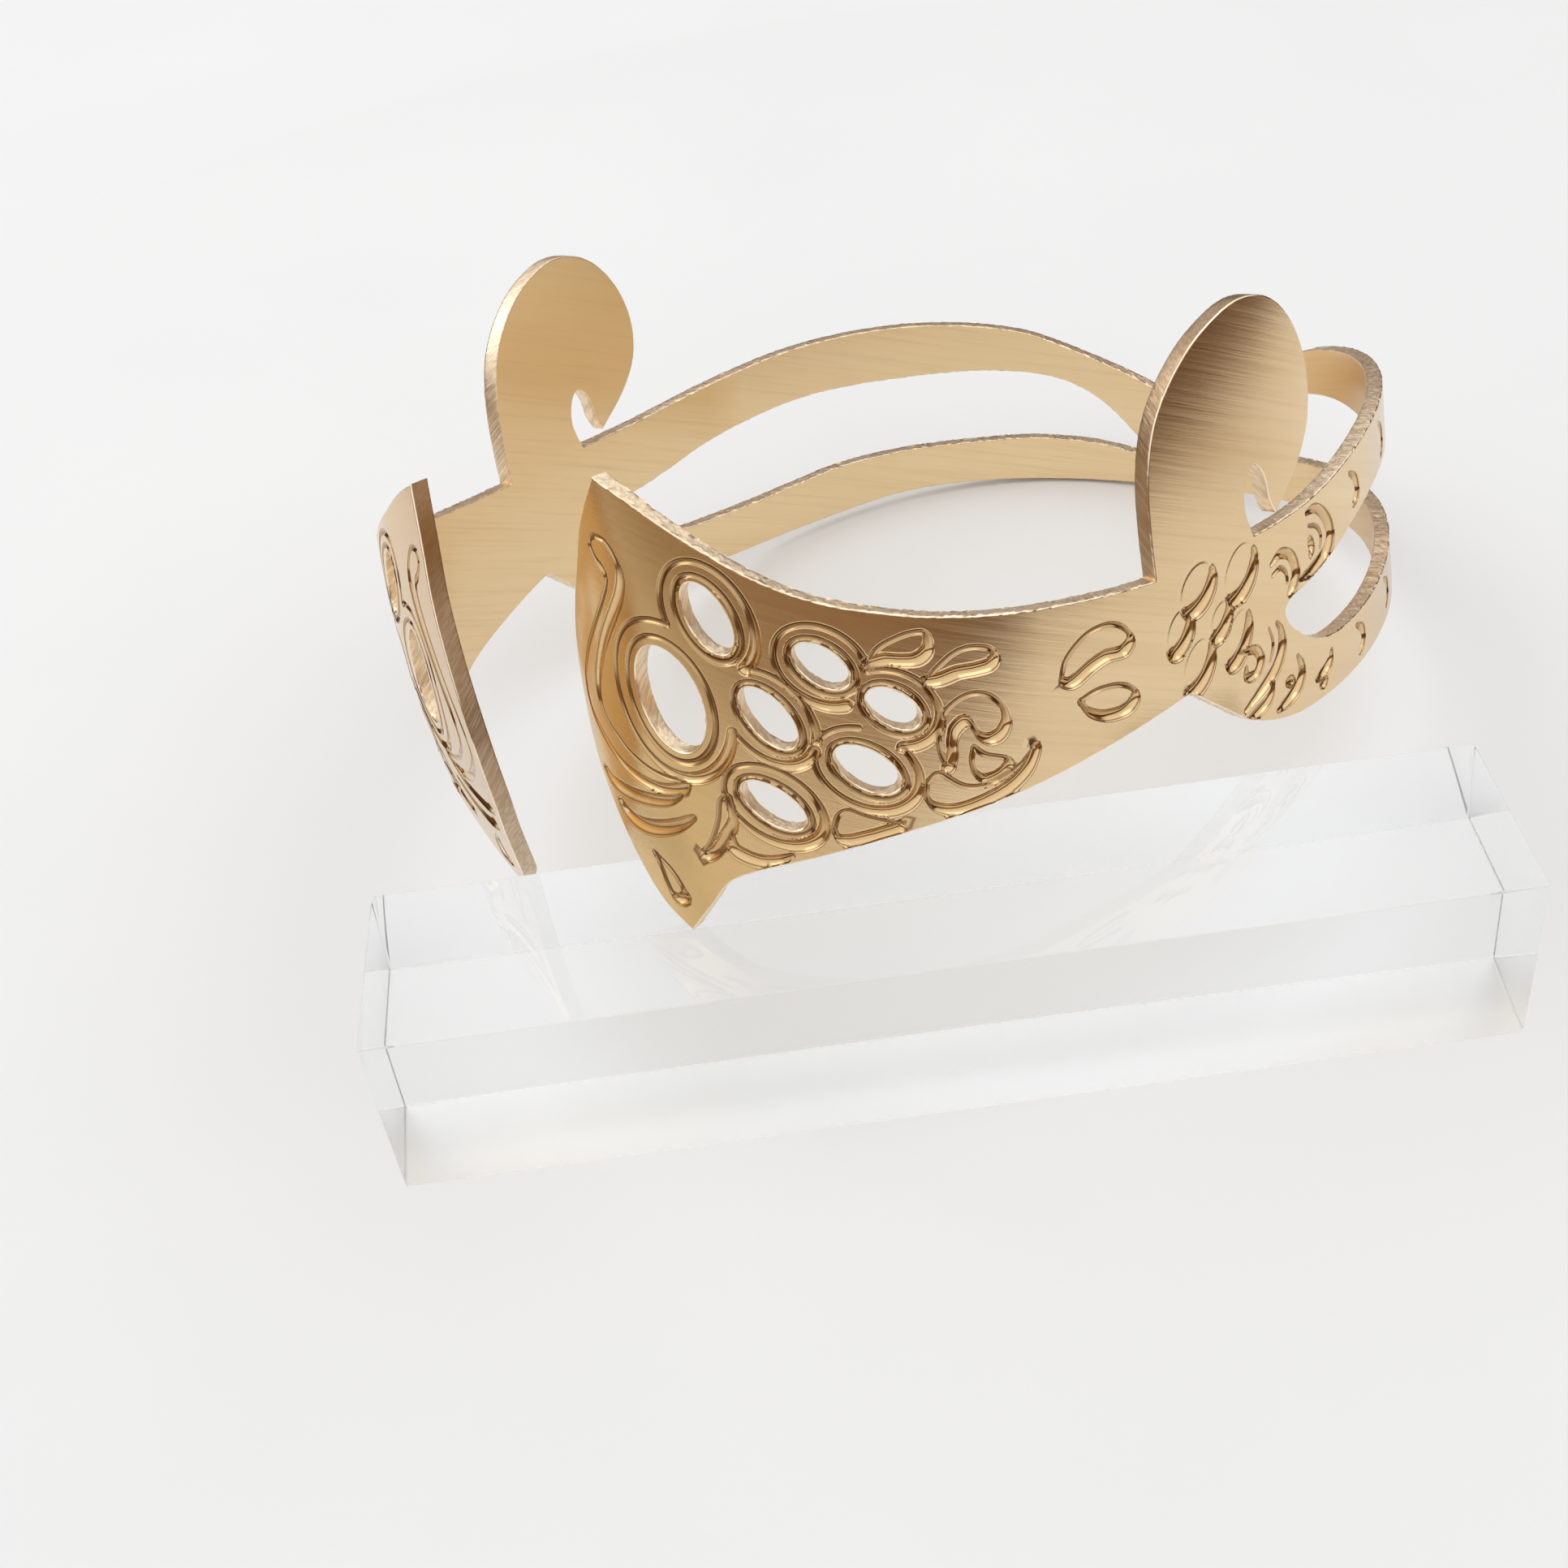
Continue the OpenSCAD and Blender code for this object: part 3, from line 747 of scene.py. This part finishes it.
class Nodes:
    """A node tree whose nodes are added one call at a time."""

    def __init__(self, tree):
        self.tree = tree

    def node(self, kind, settings=None, output=0, **inputs):
        """Node of a type, with its settings, then values or links for its sockets. A socket's name
        is given with underscores, or as in_ and its number."""
        node = self.tree.nodes.new("ShaderNode" + kind)
        for name, value in (settings or {}).items():
            if name == "stops":
                ramp = node.color_ramp
                while len(ramp.elements) < len(value):
                    ramp.elements.new(0.5)
                for element, (position, color) in zip(ramp.elements, value):
                    element.position, element.color = position, (*color, 1)
            else:
                setattr(node, name, value)
        for name, value in inputs.items():
            socket = node.inputs[int(name[3:]) if name.startswith("in_") else name.replace("_", " ")]
            if isinstance(value, Value):
                self.tree.links.new(value.socket, socket)
            else:
                socket.default_value = (*value, 1) if socket.type == "RGBA" else value
        return Value(self.tree, node.outputs[output])

    def mix(self, factor, a, b):
        """Colour a where the factor is 0 and b where it is 1."""
        return self.node("Mix", {"data_type": "RGBA"}, output=2, in_0=factor, in_6=a, in_7=b)


class Finish(Nodes):
    """The nodes of a new material, which starts with none."""

    def __init__(self, name):
        self.material = bpy.data.materials.new(name)
        self.material.use_nodes = True
        super().__init__(self.material.node_tree)
        self.tree.nodes.clear()

    def surface(self, shader):
        """The material, finished with the shader on its surface."""
        out = self.tree.nodes.new("ShaderNodeOutputMaterial")
        self.tree.links.new(shader.socket, out.inputs["Surface"])
        return self.material


brass = Finish("brushed_brass")
uv_map = brass.node("UVMap", {"uv_map": "plate"})
cut, narrow, browned, surface_kind = (
    brass.node("Attribute", {"attribute_name": name}, output=2)
    for name in ("cut", "narrow", "browned", "surface")
)
outer_face = ((surface_kind - 0.6) * 4).within()
edge_face = (1 - (surface_kind - ON_EDGE).absolute() * 4).within()
inner_face = (1 - surface_kind * 4).within()
lip = (1 - (surface_kind - ON_LIP).absolute() * 8).within()
# Brushing runs along the plate, so its noise is stretched along u
streaks = brass.node("Mapping", Vector=uv_map, Scale=(22, 900, 1))
fine_brush = brass.node("TexNoise", Vector=streaks, Scale=1.0, Detail=5.0, Roughness=0.65)
bands = brass.node("Mapping", Vector=uv_map, Scale=(9, 170, 1))
broad_brush = brass.node("TexNoise", Vector=bands, Scale=1.0, Detail=3.0, Roughness=0.6)
cloud = brass.node("TexNoise", Vector=uv_map, Scale=45.0, Detail=3.0, Roughness=0.5)
grain = brass.node("TexNoise", Vector=uv_map, Scale=2600.0, Detail=3.0, Roughness=0.7)
crumbs = brass.node("TexVoronoi", Vector=uv_map, Scale=1500.0)
# Colours, as shares of linear red, green and blue
INNER_GOLD, OUTER_GOLD, PALE_GOLD = (0.92, 0.71, 0.42), (0.84, 0.62, 0.36), (0.96, 0.78, 0.51)
# A deep gold that paints reflected gold, a pale one for painted highlights and a brown gold for painted
# shade
REFLECTED_GOLD, HIGHLIGHT_GOLD, SHADE_BROWN_GOLD = (0.76, 0.51, 0.22), (0.99, 0.86, 0.66), (0.50, 0.29, 0.12)
RAIL_GOLD = (0.60, 0.47, 0.34)
# Brushing streaks, a gold darkened as painted shade, and the cut edges' own gold
STREAK_GOLD, SHADED_GOLD, EDGE_GOLD = (0.70, 0.47, 0.24), (0.60, 0.40, 0.22), (0.96, 0.77, 0.55)
# Amber for random tone and for the painted reflection in the cut lines, a brown for painted shade in the
# cuts and residue at their rims, and a brown for painted shade on two edges and for burrs
AMBER_TONE_AND_REFLECTION, SHADE_AND_RESIDUE_BROWN, BURR_AND_SHADE_BROWN = (0.82, 0.56, 0.28), (0.15, 0.06, 0.02), (0.19, 0.085, 0.025)
# Both in millimetres. The left half has negative u
signed_u = brass.node("SeparateXYZ", Vector=uv_map) * 1000
slanted_v = brass.node("SeparateXYZ", Vector=uv_map, output=1) * 1000
# The inner face's own gold paints the reflections between the gold faces
base = brass.mix(outer_face, INNER_GOLD, OUTER_GOLD)
base = brass.mix(edge_face, base, EDGE_GOLD)
base = brass.mix(((broad_brush - 0.4) * 2).within() * 0.5, base, PALE_GOLD)
base = brass.mix(((fine_brush - 0.5) * 2.4).within() * (0.45 + inner_face * 0.2), base, STREAK_GOLD)
base = brass.mix(((cloud - 0.5) * 2).within() * 0.25, base, AMBER_TONE_AND_REFLECTION)
# Painted reflection and shade: the gold is deeper on the right panel, on the horns and inside the
# right bend, the left panel is darker towards its front and two edges are brown. The rails' outer face is
# greyer.
# Painted shade and reflection on the inner face inside the right bend
bend_shade = ((signed_u - 35) / 40).within() * (1 - ((signed_u - 120) / 30).within()) * inner_face
base = brass.mix(bend_shade * 0.65, base, SHADE_BROWN_GOLD)
# Painted reflection on the horns: deeper gold on their inner face, and painted shade in brown gold on the
# right horn's outer face
horn_reflection = ((slanted_v + 22) / 12).within() * ((signed_u.absolute() - 108) / 10).within()
base = brass.mix(horn_reflection * inner_face * 0.6, base, REFLECTED_GOLD)
base = brass.mix(horn_reflection * outer_face * ((signed_u - 138) / 30).within() * 0.45, base, SHADE_BROWN_GOLD)
# Painted reflection of the other gold on the right panel's outer face, lighter towards its front
right_panel_reflection = ((signed_u - 222) / 40).within() * (1 - ((signed_u - 268) / 16).within() * 0.6) * outer_face
base = brass.mix(right_panel_reflection * 0.8, base, REFLECTED_GOLD)
# The outer face of the rails is greyer and darker
rail_tone = (1 - ((signed_u.absolute() - 92) / 28).within()) * outer_face
base = brass.mix(rail_tone * 0.5, base, RAIL_GOLD)
# Painted shade on the left panel's outer face, growing towards its front
left_front_shade = ((-235 - signed_u) / 45).within() * outer_face
base = brass.mix(left_front_shade * 0.55, base, SHADED_GOLD)
# Painted shade on those two edges, stronger higher up the left panel's front edge and weaker on the right
# half, with some noise
edge_shade_strength = 0.35 + ((slanted_v + 110) / 60).within() * (0.6 - signed_u.within() * 0.3)
edge_shade_strength = edge_shade_strength + (cloud - 0.5) * 0.4
base = brass.mix(browned * edge_shade_strength, base, BURR_AND_SHADE_BROWN)
base = brass.mix(((crumbs - 0.35) * 3).within() * edge_face * 0.25, base, BURR_AND_SHADE_BROWN)
# Painted glints: pale specks on the cut edges, left off the shaded ones
base = brass.mix(((grain - 0.5) * 6).within() * edge_face * (1 - browned) * 0.8, base, HIGHLIGHT_GOLD)
# Painted highlight along the round lips
base = brass.mix(lip, base, HIGHLIGHT_GOLD)
# Painted reflection: amber gold in the cut lines, of the gold round them
base = brass.mix(((cut - 0.02) * 2.5).within() * 0.85, base, AMBER_TONE_AND_REFLECTION)
# Painted shade in the narrow cut lines
base = brass.mix(((narrow - 0.1) * 1.4).within() * 0.6, base, SHADE_AND_RESIDUE_BROWN)
# Painted shade in the middle of the deeper cuts
base = brass.mix(((cut - 0.5) * 2).within() * 0.3, base, SHADE_AND_RESIDUE_BROWN)
# Painted shade and residue at the rim of each cut
rim = (cut * 12).within() * (1 - ((cut - 0.15) * 5).within())
base = brass.mix(rim * 0.75, base, SHADE_AND_RESIDUE_BROWN)
roughness = 0.18 + (fine_brush - 0.5) * 0.14 + edge_face * 0.16 + inner_face * 0.16
roughness = roughness + right_panel_reflection * 0.12 - (cut * 2).within() * 0.06
# The cut lines aren't brushed
whole = 1 - (cut * 5).within()
brushed = whole * (1 - right_panel_reflection * 0.4)
height = fine_brush * brushed * 0.6 + broad_brush * brushed * 0.15 + (grain + crumbs * 0.7) * edge_face * 2.2
bump = brass.node("Bump", Strength=0.3, Distance=0.0001, Height=height)
crown.data.materials.append(
    brass.surface(
        brass.node(
            "BsdfPrincipled",
            Base_Color=base,
            Metallic=1.0,
            Roughness=roughness,
            Normal=bump,
        )
    )
)

# ---------------------------------------------------------------------------------------------
# Display block: one solid bar of clear acrylic
# It is sawn square, its faces are polished and its edges just broken. The right panel's lower
# tip stands over it, a third of a millimetre clear. Sizes are in millimetres and degrees.
# ---------------------------------------------------------------------------------------------

BLOCK_SIZE = (192, 36, 35)
BLOCK_AT = (-43.1, -124.9, 0)
BLOCK_TURN = 37.5
BLOCK_EDGE = 0.4


def rounded_bar(size, edge, steps):
    """Box with rounded edges: a grid on each side of a cube, whose points are held back by the
    edge's radius and pushed out again along the direction in which they overshoot."""
    size = np.array(size, float)
    vertices, faces, count = [], [], 0
    for axis in range(3):
        for end in (0, 1):
            a, b = [i for i in range(3) if i != axis]
            ticks = []
            for i in (a, b):
                turn = np.linspace(0, math.pi / 4, steps + 1)
                low = edge - edge * np.tan(turn[::-1])
                ticks.append(np.r_[low, size[i] - low[::-1]])
            ga, gb = np.meshgrid(*ticks, indexing="ij")
            p = np.zeros(ga.shape + (3,))
            p[..., a], p[..., b], p[..., axis] = ga, gb, end * size[axis]
            core = np.clip(p, edge, size - edge)
            away = p - core
            p = core + away * edge / np.linalg.norm(away, axis=-1, keepdims=True)
            rows, columns = ga.shape
            first = np.arange(rows * columns).reshape(rows, columns)
            quads = [first[:-1, :-1], first[1:, :-1], first[1:, 1:], first[:-1, 1:]]
            quads = np.stack(quads, -1).reshape(-1, 4)
            # A grid's own normal is +x, -y or +z, so it is turned round on the opposite sides
            if (end == 1) == (axis == 1):
                quads = quads[:, ::-1]
            vertices.append(p.reshape(-1, 3))
            faces.append(quads + count)
            count += rows * columns
    vertices, faces = np.concatenate(vertices), np.concatenate(faces)
    _, first, back = np.unique(np.round(vertices, 5), axis=0, return_index=True, return_inverse=True)
    return vertices[first], back.ravel()[faces]


vertices, faces = rounded_bar(BLOCK_SIZE, BLOCK_EDGE, steps=3)
mesh = bpy.data.meshes.new("acrylic_block")
mesh.from_pydata((vertices @ turned(2, BLOCK_TURN).T + BLOCK_AT) / 1000, [], faces)
mesh.polygons.foreach_set("use_smooth", np.ones(len(mesh.polygons), bool))
block = bpy.data.objects.new("acrylic_block", mesh)
bpy.context.scene.collection.objects.link(block)
# Acrylic lets the light of the room through to the floor under it
block.visible_shadow = block.visible_diffuse = False
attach(block, "root")
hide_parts("display_block")

acrylic = Finish("clear_acrylic")
place = acrylic.node("TexCoord", output=3)
smears = acrylic.node("TexNoise", Vector=place, Scale=60.0, Detail=4.0, Roughness=0.6)
against = (0, 0, -math.radians(BLOCK_TURN))
along_bar = acrylic.node("Mapping", Vector=place, Rotation=against, Scale=(40, 900, 900))
scratches = acrylic.node("TexNoise", Vector=along_bar, Scale=1.0, Detail=2.0)
# The underside is matt, which keeps the crown's mirror image out of it
underside = (1 - acrylic.node("SeparateXYZ", Vector=place, output=2) * 2500).within()
block.data.materials.append(
    acrylic.surface(
        acrylic.node(
            "BsdfPrincipled",
            Base_Color=acrylic.mix(smears * 0.2, (0.97, 0.985, 0.99), (0.93, 0.96, 0.97)),
            Roughness=0.015 + ((smears - 0.5) * 2).within() * 0.05 + underside * 0.5,
            IOR=1.49,
            Transmission_Weight=1.0,
            Normal=acrylic.node(
                "Bump", Strength=0.05, Distance=0.0001, Height=smears * 0.6 + scratches * 0.4
            ),
        )
    )
)

# ---------------------------------------------------------------------------------------------
# Stage: a pale floor, soft light from above and the camera at the photograph's angle
# None of it belongs to the object. Sizes are in metres.
# ---------------------------------------------------------------------------------------------

FLOOR_REACH = 3.0
# The floor is a touch lower than the frame's ground, so that air stays under the block
FLOOR_TOP = -0.0002
mesh = bpy.data.meshes.new("floor")
corners = [(-1, -1), (1, -1), (1, 1), (-1, 1)]
mesh.from_pydata([(x * FLOOR_REACH, y * FLOOR_REACH, FLOOR_TOP) for x, y in corners], [], [(0, 1, 2, 3)])
floor = bpy.data.objects.new("floor", mesh)
bpy.context.scene.collection.objects.link(floor)
pale = Finish("pale_floor")
place = pale.node("TexCoord", output=3)
mottle = pale.node("TexNoise", Vector=place, Scale=9.0, Detail=4.0, Roughness=0.5)
pale_color = pale.mix(mottle, (0.735, 0.737, 0.74), (0.78, 0.78, 0.78))
floor.data.materials.append(
    pale.surface(pale.node("BsdfPrincipled", Base_Color=pale_color, Roughness=0.85))
)


def soft_light(name, place, aim, size, watts, color):
    """Square area light that looks from its place to the aim."""
    data = bpy.data.lights.new(name, "AREA")
    data.shape, data.size, data.energy, data.color = "SQUARE", size, watts, color
    light = bpy.data.objects.new(name, data)
    light.location = place
    light.rotation_euler = (Vector(aim) - Vector(place)).to_track_quat("-Z", "Y").to_euler()
    bpy.context.scene.collection.objects.link(light)


soft_light("window", (-0.9, -0.2, 1.2), (0, 0, 0.05), 0.9, 4, (1.0, 1.0, 1.0))
soft_light("ceiling", (0.5, 0.7, 1.5), (0, 0, 0.05), 1.0, 2.5, (1.0, 0.99, 0.98))

# A low dark screen stands round the object. Only reflections see it, and the metal shows it as
# darker gold.
SCREEN_REACH, SCREEN_HEIGHT, SCREEN_SIDES = 0.43, 0.16, 96
a = np.linspace(0, 2 * math.pi, SCREEN_SIDES + 1)[:-1]
ring = np.stack([np.cos(a) * SCREEN_REACH, np.sin(a) * SCREEN_REACH, 0 * a], 1)
first = np.arange(SCREEN_SIDES)
after = (first + 1) % SCREEN_SIDES
mesh = bpy.data.meshes.new("dark_screen")
mesh.from_pydata(
    np.concatenate([ring, ring + (0, 0, SCREEN_HEIGHT)]),
    [],
    np.stack([first, first + SCREEN_SIDES, after + SCREEN_SIDES, after], 1),
)
screen = bpy.data.objects.new("dark_screen", mesh)
bpy.context.scene.collection.objects.link(screen)
dark = Finish("dark_screen")
# It is lighter in front of the panels, where y is below -0.1
screen_y = dark.node("SeparateXYZ", Vector=dark.node("TexCoord", output=3), output=1)
nearness = (screen_y * -5 - 0.5).within()
screen_color = dark.mix(nearness, (0.12, 0.052, 0.018), (0.23, 0.12, 0.05))
screen.data.materials.append(
    dark.surface(dark.node("BsdfPrincipled", Base_Color=screen_color, Roughness=0.9))
)
screen.visible_camera = screen.visible_diffuse = screen.visible_shadow = screen.visible_transmission = False
bpy.context.scene.view_settings.view_transform = "Standard"

world = bpy.data.worlds.new("room")
bpy.context.scene.world = world
world.use_nodes = True
# Light from the room, greyer towards the horizon
ROOM_BY_HEIGHT = [
    (0.0, (0.75, 0.73, 0.71)), (0.2, (0.85, 0.84, 0.83)), (0.5, (1.0, 1.0, 1.0)), (1.0, (1.0, 1.0, 1.0)),
]
room = Nodes(world.node_tree)
room_height = room.node("SeparateXYZ", output=2, Vector=room.node("TexCoord"))
room_color = room.node("ValToRGB", {"stops": ROOM_BY_HEIGHT}, Fac=room_height)
background = world.node_tree.nodes["Background"]
world.node_tree.links.new(room_color.socket, background.inputs["Color"])
background.inputs["Strength"].default_value = 1.0

# Place, axes and focal length from the fit to the photograph
CAMERA_AT = (0.15391, -0.25697, 0.27263)
CAMERA_RIGHT = (0.83747, 0.53547, -0.10916)
CAMERA_UP = (-0.28515, 0.59858, 0.74859)
CAMERA_BACK = (0.46619, -0.59579, 0.65399)
FOCAL_PIXELS = 2520.2
PICTURE_PIXELS = 1932
SENSOR_WIDTH = 36
camera_data = bpy.data.cameras.new("camera")
camera_data.sensor_width = SENSOR_WIDTH
camera_data.lens = SENSOR_WIDTH * FOCAL_PIXELS / PICTURE_PIXELS
camera_data.clip_start = 0.01
camera = bpy.data.objects.new("camera", camera_data)
bpy.context.scene.collection.objects.link(camera)
bpy.context.scene.camera = camera
matrix = np.eye(4)
matrix[:3] = np.column_stack([CAMERA_RIGHT, CAMERA_UP, CAMERA_BACK, CAMERA_AT])
camera.matrix_world = Matrix(matrix.tolist())

bpy.context.view_layer.update()
